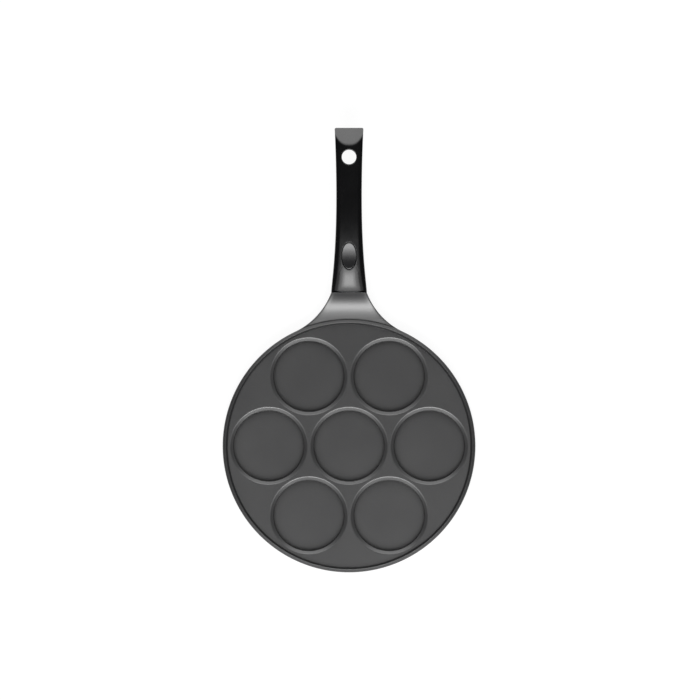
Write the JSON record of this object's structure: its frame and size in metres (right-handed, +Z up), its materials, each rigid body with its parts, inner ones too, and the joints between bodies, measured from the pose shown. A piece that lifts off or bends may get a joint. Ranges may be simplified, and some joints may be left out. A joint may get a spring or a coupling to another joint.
{
  "type": "pancake pan",
  "caption": "Round cast non-stick pancake pan with shallow round wells, a low rim, a flared neck and a black handle that pulls off when its oval button is pressed.",
  "frame": {"origin": "centre of the flat base, on the surface the pan stands on", "axes": "+Z up, +Y along the handle away from the pan, +X to the right seen from above"},
  "size_m": [0.265, 0.4655, 0.045],
  "materials": {
    "coated_casting": "cast aluminium with a satin charcoal non-stick coating, base turned bare",
    "black_phenolic": "moulded black phenolic, polished",
    "button_phenolic": "moulded black phenolic, polished, dished",
    "steel": "satin stainless steel"
  },
  "bodies": {
    "pan": {"pan_body": "coated_casting"},
    "handle": {"handle_grip": "black_phenolic", "belly_cover": "black_phenolic", "socket_sleeve": "steel", "latch_spring": "steel", "latch_screw_front": "steel", "latch_screw_rear": "steel", "cover_screw_front": "steel", "cover_screw_rear": "steel"},
    "button": {"release_button": "button_phenolic"}
  },
  "joints": [
    {"name": "handle_pull", "type": "slide", "parent": "pan", "child": "handle", "axis": [0, 0.9588, 0.284], "range_m": [0, 0.05], "deforming": ["latch_spring"]},
    {"name": "button_press", "type": "slide", "parent": "handle", "child": "button", "axis": [0, 0.161, -0.987], "range_m": [0, 0.0022], "stiffness_N_per_m": 4500, "springref_m": -0.0005, "deforming": ["latch_spring"]}
  ]
}
